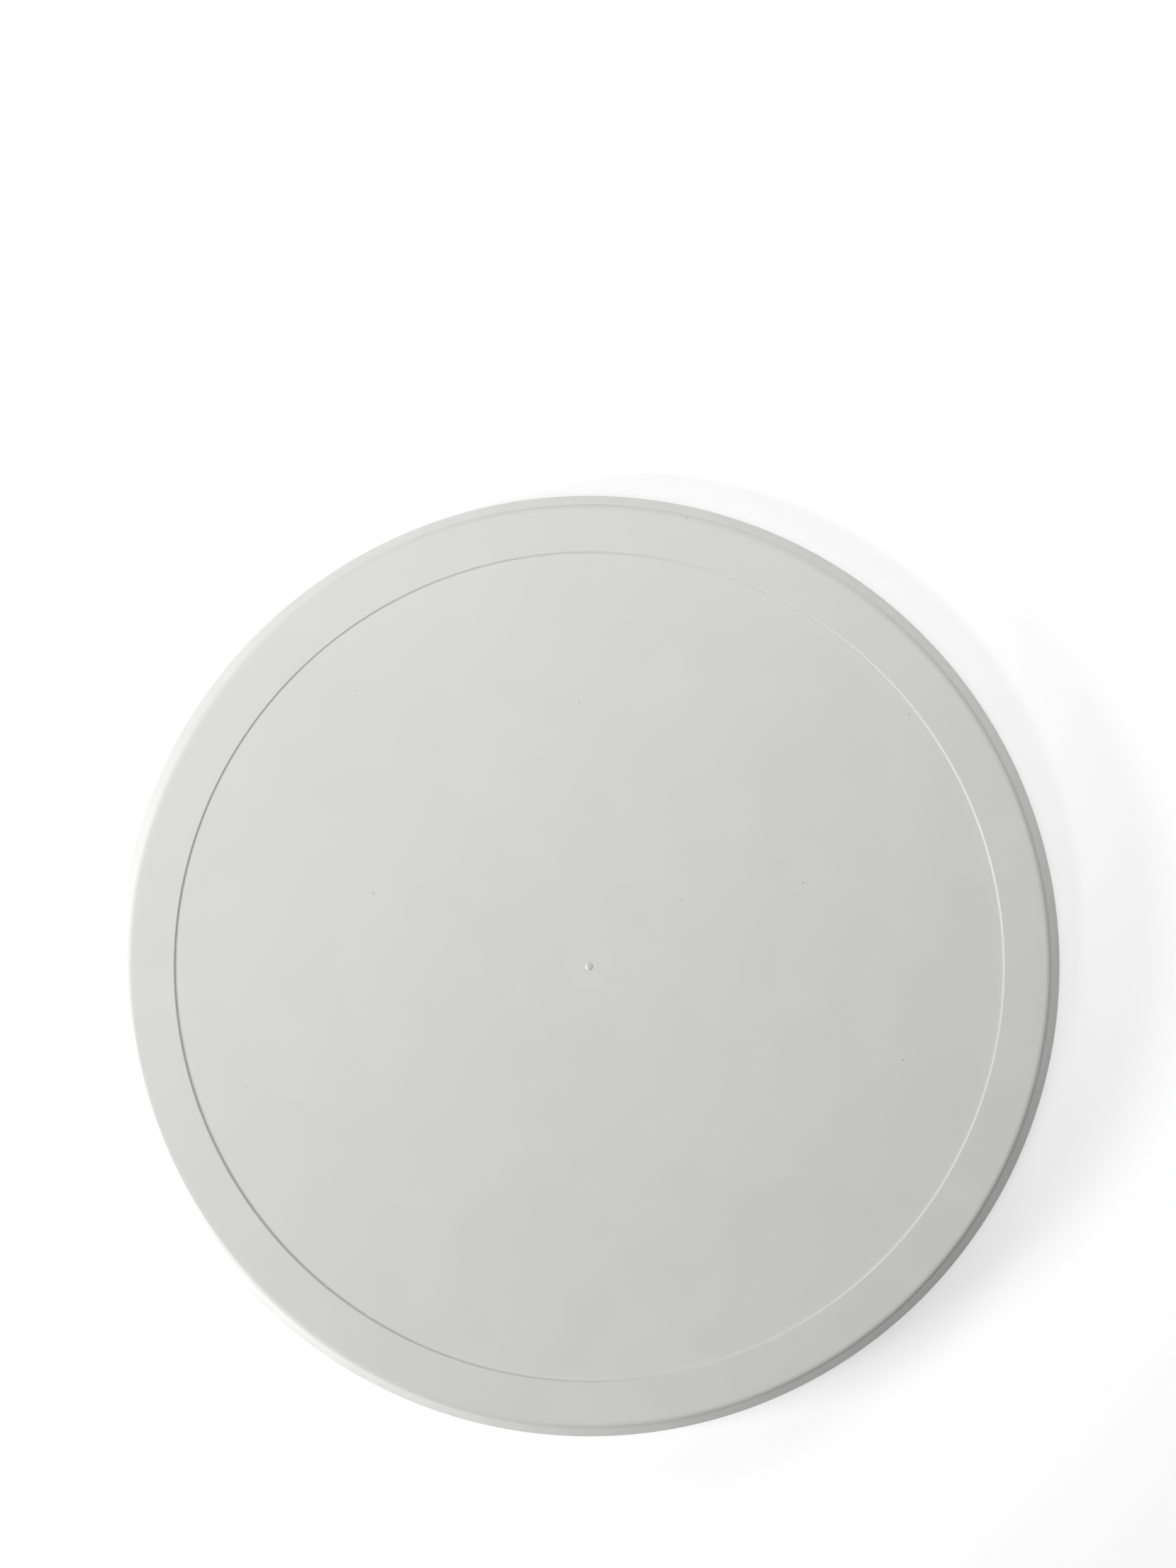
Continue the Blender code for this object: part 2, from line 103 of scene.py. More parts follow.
# The plate's own sizes
PLATE_WALL = 2.6 * MM
PLATE_UNDERSIDE = RECESS_FLOOR - PLATE_WALL
STEP_FOOT = 131.65 * MM
STEP_TOP = 132 * MM
STEP_FILLET = 0.6 * MM
STEP_EDGE_ROUND = 0.4 * MM
UNDER_STEP_SHIFT = 0.5 * MM  # the underside's step lies this far inside the top's
UNDER_STEP_WIDTH = 1.5 * MM
SHOULDER_EASE = math.radians(14)  # the rim's first, gentler slope
SHOULDER_START = 145.5 * MM
SHOULDER_ROUNDS = (4 * MM, 1.6 * MM)
SKIRT_DRAFT = math.radians(12.5)
SKIRT_BOTTOM = 11.5 * MM
SKIRT_WALL = 2.4 * MM
SKIRT_EDGE_ROUND = 0.5 * MM
GATE_RADIUS = 1.25 * MM  # of the low stub that the moulding gate leaves in the middle
GATE_CROWN_RADIUS = 0.75 * MM
GATE_HEIGHT = 0.34 * MM
GATE_PIT_RADIUS = 0.2 * MM
GATE_PIT_DEPTH = 0.22 * MM
GATE_TEAR = math.radians(95)  # the direction in which the broken stub is drawn out
GATE_DRAW = 0.28  # how far it is drawn out there, as a share of its radius
GATE_TILT = 0.16  # how much higher it is on one side, as a share of its height
GATE_BLEND = 1 * MM  # from the stub's foot to where the recess is untouched
PLATE_RIBS = 12
RIB_WIDTH = 1.8 * MM
RIB_TIP_WIDTH = 1.3 * MM
RIB_TIP_ROUND = 0.35 * MM
RIB_ROOT_ROUND = 0.3 * MM
OUTER_RIB_BOTTOM = 20.2 * MM
OUTER_RIB_SPAN = (86 * MM, 146.7 * MM)
PLATE_HOOP = (110 * MM, 20.5 * MM)  # radius and lower edge
INNER_HOOP = (40 * MM, 20.4 * MM)
INNER_RIB_BOTTOM = 20.8 * MM
INNER_RIB_SPAN = (9 * MM, 64 * MM)
RIB_END_SLOPE = 3 * MM
PLATE_RIB_ROOT = RECESS_FLOOR - 0.3 * MM
RACE_RIB_HEIGHT = 2 * MM
COLLAR_RADIUS = 10 * MM
COLLAR_BOTTOM = 18.6 * MM
SPIGOT_RADIUS = 6 * MM
PILOT_RADIUS = 1.65 * MM
PILOT_TOP = 19.5 * MM
SINKS = (  # radius and half width of the slight sinks above the collar, the hoops and the race
    (7 * MM, 6 * MM),
    (INNER_HOOP[0], 3 * MM),
    (BALL_CIRCLE, 8 * MM),
    (PLATE_HOOP[0], 3 * MM),
)

# The base's own sizes
DECK_TOP = ball.bottom
DECK_WALL = 2.5 * MM
DECK_UNDERSIDE = DECK_TOP - DECK_WALL
DECK_CORNER = 100.6 * MM
DECK_EDGE_ROUND = 1.5 * MM
BASE_BOTTOM = 2.8 * MM
BASE_WALL = 2.2 * MM
RACE_HOOP_BOTTOM = 9.4 * MM
WELL_OUTER_RADIUS = 15 * MM
WELL_INNER_RADIUS = 13 * MM
WELL_BOTTOM = 2.6 * MM
HUB_TOP = 16 * MM
HUB_BOTTOM = 9 * MM
HUB_OUTER_RADIUS = bush.radius
HUB_BORE = 8.3 * MM
SOCKET_INNER = 7.2 * MM
SOCKET_OUTER = 9.2 * MM
SOCKET_BOTTOM = 2.5 * MM
BASE_RIB_BOTTOM = 9.8 * MM
BASE_RIB_WIDTH = 2 * MM
BASE_RIB_TIP_WIDTH = 1.5 * MM
SUNK = 1 * MM  # how far one moulded shape reaches into the next


# ---------------------------------------------------------------- mesh work


def arc(center, height, radius, start, end, steps):
    """Corners without rounding along an arc, from one angle to another in degrees."""
    angles = [math.radians(start + (end - start) * i / steps) for i in range(steps + 1)]
    return [(center + radius * math.cos(a), height + radius * math.sin(a), 0) for a in angles]


def rounded(corners):
    """The points of an outline whose corners are (radius, height, rounding)."""
    points = []
    for i, (radius, height, rounding) in enumerate(corners):
        corner = Vector((radius, height))
        if not rounding:
            points.append(corner)
            continue
        before = (Vector(corners[i - 1][:2]) - corner).normalized()
        after = (Vector(corners[(i + 1) % len(corners)][:2]) - corner).normalized()
        half = before.angle(after) / 2
        center = corner + (before + after).normalized() * (rounding / math.sin(half))
        spoke = corner + before * (rounding / math.tan(half)) - center
        turn = math.pi - 2 * half
        turn *= 1 if before.cross(after) < 0 else -1
        steps = max(2, math.ceil(math.degrees(abs(turn)) / ARC_STEP))
        for step in range(steps + 1):
            points.append(center + Matrix.Rotation(turn * step / steps, 2) @ spoke)
    return points


def mesh_from(bm, name):
    bmesh.ops.recalc_face_normals(bm, faces=bm.faces)
    mesh = bpy.data.meshes.new(name)
    bm.to_mesh(mesh)
    bm.free()
    return mesh


def turned(name, corners, sides, place=Vector((0, 0, 0))):
    """The outline turned about an upright axis. One that starts on the axis also ends on it."""
    bm = bmesh.new()
    points = [bm.verts.new((p.x, 0, p.y)) for p in rounded(corners)]
    edges = [bm.edges.new(pair) for pair in zip(points, points[1:])]
    if corners[0][0] > 0:
        edges.append(bm.edges.new((points[-1], points[0])))
    bmesh.ops.spin(
        bm,
        geom=points + edges,
        axis=(0, 0, 1),
        cent=(0, 0, 0),
        angle=math.tau,
        steps=sides,
        use_merge=True,
    )
    bmesh.ops.remove_doubles(bm, verts=bm.verts, dist=WELD)
    mesh = mesh_from(bm, name)
    mesh.transform(Matrix.Translation(place))
    return mesh


def gathered(name, meshes):
    """One mesh of several separate closed shapes."""
    bm = bmesh.new()
    for mesh in meshes:
        bm.from_mesh(mesh)
        bpy.data.meshes.remove(mesh)
    return mesh_from(bm, name)


def combined(mesh, tool, operation):
    """The mesh with a tool mesh joined to it, or cut away, by an exact Boolean."""
    target = bpy.data.objects.new("boolean_target", mesh)
    helper = bpy.data.objects.new("boolean_helper", tool)
    for item in (target, helper):
        bpy.context.scene.collection.objects.link(item)
    modifier = target.modifiers.new("join", "BOOLEAN")
    modifier.operation = operation
    modifier.solver = "EXACT"
    modifier.object = helper
    depsgraph = bpy.context.evaluated_depsgraph_get()
    result = bpy.data.meshes.new_from_object(target.evaluated_get(depsgraph))
    for item in (target, helper):
        bpy.data.objects.remove(item)
    for used in (mesh, tool):
        bpy.data.meshes.remove(used)
    return result


def rib(span, root, bottom, width, tip_width, turn, slopes=(0, 0)):
    """A moulded rib along a radius: a drafted section with a rounded lower edge and sloped ends."""
    start, end = span
    tip = tip_width / 2 - RIB_TIP_ROUND
    section = [(width / 2, root)]
    section += [(tip + y, z) for y, z, _ in arc(0, bottom + RIB_TIP_ROUND, RIB_TIP_ROUND, 0, -90, 4)]
    section += [(-y, z) for y, z in reversed(section)]
    bm = bmesh.new()
    rows = []
    for radius, slope in ((start, slopes[0]), (end, -slopes[1])):
        depth = root - bottom
        rows.append([bm.verts.new((radius + slope * (root - z) / depth, y, z)) for y, z in section])
    for row in rows:
        bm.faces.new(row)
    for i in range(len(section)):
        j = (i + 1) % len(section)
        bm.faces.new((rows[0][i], rows[0][j], rows[1][j], rows[1][i]))
    mesh = mesh_from(bm, "rib")
    mesh.transform(Matrix.Rotation(turn, 4, "Z"))
    return mesh


def around(count, radius, offset=0):
    """Evenly spaced places on a circle, with each one's direction about Z."""
    for i in range(count):
        turn = math.tau * (i + offset) / count
        yield turn, Vector((radius * math.cos(turn), radius * math.sin(turn), 0))


def finished(name, mesh, material, body, node):
    """Adds a piece that rides on a body and stands for a node of the frame."""
    mesh.materials.clear()
    mesh.materials.append(material)
    mesh.shade_smooth()
    mesh.set_sharp_from_angle(angle=math.radians(SHARP_ANGLE))
    item = bpy.data.objects.new(name, mesh)
    bpy.context.scene.collection.objects.link(item)
    weighted = item.modifiers.new("even_shading", "WEIGHTED_NORMAL")
    weighted.keep_sharp = True
    weighted.weight = 100
    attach(item, body)
    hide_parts(node)
    return item


# ---------------------------------------------------------------- materials


class Shader:
    """A material's node tree, with short calls for the nodes used here."""

    def __init__(self, name, **values):
        self.material = bpy.data.materials.new(name)
        self.material.use_nodes = True
        self.tree = self.material.node_tree
        self.principled = self.tree.nodes["Principled BSDF"]
        for socket, value in values.items():
            self.principled.inputs[socket.replace("_", " ")].default_value = value
        self.place = self.node("ShaderNodeTexCoord").outputs["Object"]

    def node(self, kind, inputs=None, **settings):
        item = self.tree.nodes.new(kind)
        for key, value in settings.items():
            setattr(item, key, value)
        for socket, value in (inputs or {}).items():
            if isinstance(value, bpy.types.NodeSocket):
                self.tree.links.new(value, item.inputs[socket])
            else:
                item.inputs[socket].default_value = value
        return item

    def noise(self, size, detail=2.0, place=None, roughness=0.5):
        """Noise between 0 and 1, whose spots are about size metres across."""
        inputs = {
            "Vector": place or self.place,
            "Scale": 1 / size,
            "Detail": detail,
            "Roughness": roughness,
        }
        return self.node("ShaderNodeTexNoise", inputs).outputs["Fac"]

    def ramp(self, value, low, high, out_low=0.0, out_high=1.0):
        """The value's range from low to high, spread smoothly over another range."""
        inputs = {
            "Value": value,
            "From Min": low,
            "From Max": high,
            "To Min": out_low,
            "To Max": out_high,
        }
        item = self.node("ShaderNodeMapRange", inputs, interpolation_type="SMOOTHSTEP")
        return item.outputs["Result"]

    def math(self, operation, first, second=0.0):
        return self.node("ShaderNodeMath", {0: first, 1: second}, operation=operation).outputs[0]

    def stretched(self, scale, turn=0.0):
        """The surface's coordinates turned about Z and stretched."""
        inputs = {"Vector": self.place, "Rotation": (0, 0, turn), "Scale": scale}
        return self.node("ShaderNodeMapping", inputs).outputs["Vector"]

    def radius(self):
        """The distance from the object's own Z axis."""
        flat = self.node("ShaderNodeVectorMath", {0: self.place, 1: (1, 1, 0)}, operation="MULTIPLY")
        length = self.node("ShaderNodeVectorMath", {0: flat.outputs[0]}, operation="LENGTH")
        return length.outputs["Value"]

    def mix(self, factor, first, second):
        """A mix of two colours, by the node's colour sockets."""
        item = self.node("ShaderNodeMix", data_type="RGBA")
        for socket, value in ((0, factor), (6, first), (7, second)):
            if isinstance(value, bpy.types.NodeSocket):
                self.tree.links.new(value, item.inputs[socket])
            else:
                item.inputs[socket].default_value = value
        return item.outputs[2]

    def bump(self, height, distance, below=None):
        inputs = {"Height": height, "Distance": distance, "Strength": 1.0}
        if below is not None:
            inputs["Normal"] = below
        return self.node("ShaderNodeBump", inputs).outputs["Normal"]

    def set(self, socket, value):
        self.tree.links.new(value, self.principled.inputs[socket])


def shade(color, factor):
    """A colour made lighter or darker, with its alpha."""
    return tuple(min(1.0, c * factor) for c in color) + (1.0,)


def hairlines(shader, size, turn, amount):
    """A mask of fine straight scuffs in one direction, in patches."""
    lines = shader.noise(size, 1.0, shader.stretched((1, 0.02, 1), turn))
    patches = shader.noise(38 * MM, 2.0, shader.stretched((1, 1, 1), turn + 1))
    thin = shader.ramp(lines, 0.66, 0.72)
    return shader.math("MULTIPLY", thin, shader.ramp(patches, 0.5, 0.7, 0.0, amount))


def moulded_plastic(name, color, roughness, grain, grain_depth, mottle=0.015, scuffs=0.5):
    """White or off-white moulded plastic: cloudy colour, fine grain, slow waves and light scuffs."""
    shader = Shader(name, IOR=1.49)
    cloud = shader.noise(42 * MM, 3.0)
    fine = shader.noise(grain, 2.0)
    worn = shader.math(
        "MAXIMUM",
        hairlines(shader, 0.5 * MM, 0.5, scuffs),
        hairlines(shader, 0.6 * MM, 2.1, scuffs),
    )
    tone = shader.mix(shader.ramp(cloud, 0.3, 0.7), shade(color, 1 - mottle), shade(color, 1 + mottle))
    dusty = shader.mix(shader.ramp(fine, 0.35, 0.75, 0.0, 0.5), tone, shade(color, 1 - 2 * mottle))
    shader.set("Base Color", shader.mix(worn, dusty, shade(color, 0.94)))
    uneven = shader.ramp(shader.noise(17 * MM, 4.0), 0.3, 0.7, roughness - 0.03, roughness + 0.04)
    shader.set("Roughness", shader.math("ADD", uneven, shader.math("MULTIPLY", worn, 0.15)))
    waves = shader.bump(shader.noise(22 * MM, 1.0), 0.03 * MM)
    skin = shader.bump(fine, grain_depth, waves)
    shader.set("Normal", shader.bump(worn, -0.003 * MM, skin))
    return shader


def plate_plastic():
    """The turntable's white: as other mouldings, with gate blush, slight sinks and a few specks."""
    color = (0.712, 0.711, 0.704)
    shader = moulded_plastic("turntable_white", color, 0.32, 0.3 * MM, 0.0035 * MM, 0.008, 0.12)
    distance = shader.radius()
    plain = shader.principled.inputs["Base Color"].links[0].from_socket

    cells = shader.node(
        "ShaderNodeTexVoronoi",
        {"Vector": shader.place, "Scale": 1 / (34 * MM)},
        voronoi_dimensions="2D",
    )
    chosen = shader.node("ShaderNodeSeparateColor", {"Color": cells.outputs["Color"]}).outputs["Red"]
    size = shader.ramp(chosen, 0.55, 1.0, 0.0, 0.007)
    speck = shader.math("LESS_THAN", cells.outputs["Distance"], size)
    speckled = shader.mix(speck, plain, shade(color, 0.45))

    halo_rise = shader.ramp(distance, 2 * MM, 5.5 * MM)
    halo_fall = shader.ramp(distance, 5.5 * MM, 9 * MM, 1.0, 0.0)
    halo = shader.math("MULTIPLY", halo_rise, halo_fall)
    blush = shader.mix(shader.math("MULTIPLY", halo, 0.3), speckled, shade(color, 1.04))
    shader.set("Base Color", blush)

    sinks = shader.node("ShaderNodeValToRGB", {"Fac": shader.math("DIVIDE", distance, plate.radius)})
    ramp = sinks.color_ramp
    ramp.interpolation = "B_SPLINE"
    ramp.elements[0].position = 0.0
    ramp.elements[1].position = 1.0
    for element in ramp.elements:
        element.color = (1, 1, 1, 1)
    for radius, half in SINKS:
        for step, level in ((-half, 1.0), (0, 0.0), (half, 1.0)):
            element = ramp.elements.new((radius + step) / plate.radius)
            element.color = (level, level, level, 1)
    smooth = shader.principled.inputs["Normal"].links[0].from_socket
    shader.set("Normal", shader.bump(sinks.outputs["Color"], 0.006 * MM, smooth))
    return shader.material


def steel(name, color, roughness, grain, spots):
    """Polished or plated steel with faint stains and fine directionless scratches."""
    shader = Shader(name, Metallic=1.0)
    stains = shader.noise(spots, 4.0)
    stained = shader.ramp(stains, 0.35, 0.7)
    shader.set("Base Color", shader.mix(stained, shade(color, 1.04), shade(color, 0.86)))
    patches = shader.noise(spots / 2, 5.0)
    shader.set("Roughness", shader.ramp(patches, 0.3, 0.7, roughness * 0.7, roughness * 1.4))
    lines = shader.noise(grain, 2.0, shader.stretched((1, 0.05, 1), 0.7))
    ripples = shader.bump(shader.noise(grain * 4, 2.0), 0.003 * MM)
    shader.set("Normal", shader.bump(lines, 0.0015 * MM, ripples))
    return shader.material


def rubber(name, color):
    """Matt moulded rubber with a fine grain, pale dust in its hollows and rubbed patches."""
    shader = Shader(name, IOR=1.5)
    dust = shader.ramp(shader.noise(2.4 * MM, 5.0), 0.5, 0.8, 0.0, 0.55)
    rubbed = shader.ramp(shader.noise(9 * MM, 3.0), 0.3, 0.7)
    tone = shader.mix(rubbed, shade(color, 0.85), shade(color, 1.2))
    shader.set("Base Color", shader.mix(dust, tone, (0.16, 0.158, 0.15, 1)))
    shader.set("Roughness", shader.ramp(shader.noise(4 * MM, 3.0), 0.3, 0.7, 0.66, 0.86))
    grain = shader.bump(shader.noise(0.35 * MM, 3.0), 0.02 * MM)
    shader.set("Normal", shader.bump(shader.noise(3 * MM, 2.0), 0.05 * MM, grain))
    return shader.material


def floor_material():
    """A pale satin studio floor with barely visible unevenness, which glows a little."""
    shader = Shader("studio_floor", IOR=2.1, Specular_IOR_Level=1.0)
    cloud = shader.noise(0.6, 1.0)
    shader.set("Base Color", shader.mix(cloud, (0.94, 0.94, 0.94, 1), (0.95, 0.95, 0.948, 1)))
    shader.set("Roughness", shader.ramp(cloud, 0.0, 1.0, 0.25, 0.27))
    shader.principled.inputs["Emission Color"].default_value = (1, 1, 1, 1)
    shader.principled.inputs["Emission Strength"].default_value = FLOOR_GLOW
    return shader.material


# ---------------------------------------------------------------- the turntable's pieces


def hoop(radius, top, bottom):
    """A round rib's corners below a flat underside, from outside to inside."""
    root = RIB_WIDTH / 2
    tip = RIB_TIP_WIDTH / 2
    return [
        (radius + root, top, RIB_ROOT_ROUND),
        (radius + tip, bottom, RIB_TIP_ROUND),
        (radius - tip, bottom, RIB_TIP_ROUND),
        (radius - root, top, RIB_ROOT_ROUND),
    ]


def race(surface, direction):
    """A ball race's corners from outside to inside: two low ribs with the groove between them."""
    reach = BALL_RADIUS + BALL_GAP
    crown = surface - direction * RACE_RIB_HEIGHT
    start = math.degrees(math.asin(abs(crown - BALL_HEIGHT) / reach))
    groove = arc(BALL_CIRCLE, BALL_HEIGHT, reach, direction * start, direction * (180 - start), 20)
    outside = groove[0][0] + RIB_TIP_WIDTH
    inside = groove[-1][0] - RIB_TIP_WIDTH
    draft = (RIB_WIDTH - RIB_TIP_WIDTH) / 2
    return [
        (outside + draft, surface, RIB_ROOT_ROUND),
        (outside, crown, RIB_TIP_ROUND),
        *groove,
        (inside, crown, RIB_TIP_ROUND),
        (inside - draft, surface, RIB_ROOT_ROUND),
    ]


def plate_corners():
    """The plate's section, from the middle of its top out, down the skirt and back underneath."""
    lean = math.tan(SKIRT_DRAFT)
    edge = SKIRT_EDGE_ROUND
    skirt_foot = plate.radius - edge + edge * math.cos(SKIRT_DRAFT)
    skirt_foot += edge * (1 + math.sin(SKIRT_DRAFT)) * lean
    skirt_head = skirt_foot - (plate.top - SKIRT_BOTTOM) * lean
    ease = math.tan(SHOULDER_EASE)
    shoulder_drop = (skirt_head - SHOULDER_START) * ease / (1 - lean * ease)
    inner_foot = plate.radius - SKIRT_WALL
    rim_underside = plate.top - PLATE_WALL
    inner_head = inner_foot - (rim_underside - SKIRT_BOTTOM) * lean
    under_step = STEP_TOP - UNDER_STEP_SHIFT
    crown = RECESS_FLOOR + GATE_HEIGHT
    top = [
        (0, crown - GATE_PIT_DEPTH, 0),
        (GATE_PIT_RADIUS, crown - GATE_PIT_DEPTH, 0.06 * MM),
        (GATE_PIT_RADIUS + 0.16 * MM, crown, 0.1 * MM),
        (GATE_CROWN_RADIUS, crown - 0.06 * MM, 0.5 * MM),
        (GATE_RADIUS, RECESS_FLOOR, 0.2 * MM),
        (STEP_FOOT, RECESS_FLOOR, STEP_FILLET),
        (STEP_TOP, plate.top, STEP_EDGE_ROUND),
        (SHOULDER_START, plate.top, SHOULDER_ROUNDS[0]),
        (skirt_head + shoulder_drop * lean, plate.top - shoulder_drop, SHOULDER_ROUNDS[1]),
        (skirt_foot, SKIRT_BOTTOM, edge),
        (inner_foot, SKIRT_BOTTOM, edge),
    ]
    underside = [
        (inner_head, rim_underside, 1.2 * MM),
        (under_step, rim_underside, 0.8 * MM),
        (under_step - UNDER_STEP_WIDTH, PLATE_UNDERSIDE, 0.8 * MM),
        *hoop(PLATE_HOOP[0], PLATE_UNDERSIDE, PLATE_HOOP[1]),
        *race(PLATE_UNDERSIDE, 1),
        *hoop(INNER_HOOP[0], PLATE_UNDERSIDE, INNER_HOOP[1]),
    ]
    pivot = [
        (COLLAR_RADIUS, PLATE_UNDERSIDE, 0.8 * MM),
        (COLLAR_RADIUS, COLLAR_BOTTOM, 0.3 * MM),
        (SPIGOT_RADIUS, COLLAR_BOTTOM, 0.3 * MM),
        (SPIGOT_RADIUS, plate.bottom, 0.5 * MM),
        (PILOT_RADIUS, plate.bottom, 0.25 * MM),
        (PILOT_RADIUS, PILOT_TOP, 0),
        (0, PILOT_TOP, 0),
    ]
    return top + underside + pivot


def draw_out_gate(mesh):
    """Makes the stub in the middle uneven: drawn out to one side, and higher on the other."""
    reach = GATE_RADIUS + GATE_BLEND
    for vertex in mesh.vertices:
        x, y, z = vertex.co
        radius = math.hypot(x, y)
        if z < RECESS_FLOOR - 0.01 * MM or not GATE_PIT_RADIUS <= radius <= reach:
            continue
        turn = math.atan2(y, x)
        tear = max(0, math.cos(turn - GATE_TEAR)) ** 6
        waves = 0.05 * math.sin(3 * turn + 0.7) + 0.03 * math.sin(7 * turn)
        fade = min(1, max(0, (reach - radius) / GATE_BLEND))
        stretch = 1 + fade * (GATE_DRAW * tear + waves)
        vertex.co.x = x * stretch
        vertex.co.y = y * stretch
        tilt = GATE_TILT * math.cos(turn - GATE_TEAR - math.pi / 2)
        vertex.co.z = z + (z - RECESS_FLOOR) * (tilt + 2 * waves)


def make_plate(material):
    ribs = []
    for turn, _ in around(PLATE_RIBS, 1, offset=0.5):
        for span, bottom, slopes in (
            (INNER_RIB_SPAN, INNER_RIB_BOTTOM, (0, RIB_END_SLOPE)),
            (OUTER_RIB_SPAN, OUTER_RIB_BOTTOM, (RIB_END_SLOPE, 0)),
        ):
            ribs.append(rib(span, PLATE_RIB_ROOT, bottom, RIB_WIDTH, RIB_TIP_WIDTH, turn, slopes))
    body = turned("turntable_plate", plate_corners(), SIDES)
    draw_out_gate(body)
    mesh = combined(body, gathered("plate_ribs", ribs), "UNION")
    finished("plate_moulding", mesh, material, "turntable", "turntable_plate")


def make_steel_washer(material):
    hole = 1.8 * MM
    corners = [
        (hole, steel_washer.top, 0.15 * MM),
        (steel_washer.radius, steel_washer.top, 0.35 * MM),
        (steel_washer.radius, steel_washer.bottom, 0.12 * MM),
        (hole, steel_washer.bottom, 0.3 * MM),
    ]
    mesh = turned("retaining_washer", corners, SMALL_SIDES)
    finished("washer_stamping", mesh, material, "turntable", "retaining_washer")


def screw_recess(head_bottom):
    """The tapered blades of a cross recess, as one cutter."""
    reach, narrow, depth, width = 1.9 * MM, 0.9 * MM, 1.2 * MM, 0.8 * MM
    blades = []
    for quarter in range(4):
        bm = bmesh.new()
        side = [(0, -SUNK), (reach * 1.3, -SUNK), (reach, 0), (narrow, depth), (0, depth)]
        rows = [[bm.verts.new((r, y, head_bottom + z)) for r, z in side] for y in (-width / 2, width / 2)]
        for row in rows:
            bm.faces.new(row)
        for i in range(len(side)):
            j = (i + 1) % len(side)
            bm.faces.new((rows[0][i], rows[0][j], rows[1][j], rows[1][i]))
        blade = mesh_from(bm, "blade")
        blade.transform(Matrix.Rotation(math.radians(90 * quarter + 7.5), 4, "Z"))
        blades.append(blade)
    cutter = blades[0]
    for blade in blades[1:]:
        cutter = combined(cutter, blade, "UNION")
    return cutter


def screw_rings():
    """The screw from its head, which is down, to its point: radius, height and depth of thread."""
    shank, core = 1.35 * MM, 0.95 * MM
    head_top = screw.bottom + 2.1 * MM
    neck = head_top + 0.5 * MM
    point = screw.top - 1.6 * MM
    head = [
        (0, screw.bottom, 0),
        (screw.radius - 0.5 * MM, screw.bottom + 0.15 * MM, 0.9 * MM),
        (screw.radius, head_top, 0.2 * MM),
        (core, head_top, 0.15 * MM),
        (core, neck, 0),
    ]
    rings = [(p.x, p.y, 0) for p in rounded(head)]
    steps = round((screw.top - neck) / (SCREW_PITCH / 12))
    for step in range(1, steps + 1):
        height = neck + (screw.top - neck) * step / steps
        taper = min(1, (screw.top - height) / (screw.top - point))
        start = min(1, (height - neck) / SCREW_PITCH)
        radius = core * (0.25 + 0.75 * taper)
        rings.append((radius, height, (shank - core) * start * min(1, taper * 1.3)))
    return rings


def make_screw(material):
    """A pan-head screw, with a rolled thread that runs out at the point and the head."""
    bm = bmesh.new()
    rows = []
    for radius, height, depth in screw_rings():
        row = []
        for side in range(SCREW_SIDES):
            turn = math.tau * side / SCREW_SIDES
            phase = (height / SCREW_PITCH - side / SCREW_SIDES) % 1
            crest = max(0, 1 - abs(phase - 0.5) / 0.32) ** 0.8
            reach = max(radius + depth * crest, 1e-9)
            row.append(bm.verts.new((reach * math.cos(turn), reach * math.sin(turn), height)))
        rows.append(row)
    for low, high in zip(rows, rows[1:]):
        for i in range(SCREW_SIDES):
            j = (i + 1) % SCREW_SIDES
            bm.faces.new((low[i], low[j], high[j], high[i]))
    bm.faces.new(rows[-1])
    bmesh.ops.remove_doubles(bm, verts=bm.verts, dist=WELD)
    mesh = combined(mesh_from(bm, "center_screw"), screw_recess(screw.bottom), "DIFFERENCE")
    finished("screw_threaded", mesh, material, "turntable", "center_screw")


# ---------------------------------------------------------------- the bearing's pieces


def make_cage(material):
    """The cage, with lips along its edges and a countersunk pocket round each ball."""
    flat, lip = 1.2 * MM, 1.5 * MM
    inner = 67 * MM
    top, bottom = cage.top, cage.bottom
    tip = 0.3 * MM
    corners = [
        (inner, top, tip),
        (inner + lip, top, tip),
        (inner + lip, BALL_HEIGHT + flat, tip),
        (cage.radius - lip, BALL_HEIGHT + flat, tip),
        (cage.radius - lip, top, tip),
        (cage.radius, top, tip),
        (cage.radius, bottom, tip),
        (cage.radius - lip, bottom, tip),
        (cage.radius - lip, BALL_HEIGHT - flat, tip),
        (inner + lip, BALL_HEIGHT - flat, tip),
        (inner + lip, bottom, tip),
        (inner, bottom, tip),
    ]
    pocket = BALL_RADIUS + 2 * BALL_GAP
    flare = 0.4 * MM
    past = flat + flare
    spool = [
        (0, BALL_HEIGHT + past, 0),
        (pocket + 2 * flare, BALL_HEIGHT + past, 0),
        (pocket, BALL_HEIGHT + flat - flare, 0),
        (pocket, BALL_HEIGHT - flat + flare, 0),
        (pocket + 2 * flare, BALL_HEIGHT - past, 0),
        (0, BALL_HEIGHT - past, 0),
    ]
    cutters = [turned("pocket", spool, 48, place) for _, place in around(BALLS, BALL_CIRCLE)]
    mesh = combined(turned("ball_cage", corners, SIDES), gathered("pockets", cutters), "DIFFERENCE")
    finished("cage_moulding", mesh, material, "cage", "ball_cage")


def make_balls(material):
    for number in range(1, BALLS + 1):
        name = f"ball_{number:02d}"
        low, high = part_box(name)
        bm = bmesh.new()
        place = Matrix.Translation((low + high) / 2)
        bmesh.ops.create_uvsphere(bm, u_segments=40, v_segments=24, radius=BALL_RADIUS, matrix=place)
        finished(name + "_steel", mesh_from(bm, name), material, "rolling_" + name, name)


# ---------------------------------------------------------------- the base's pieces


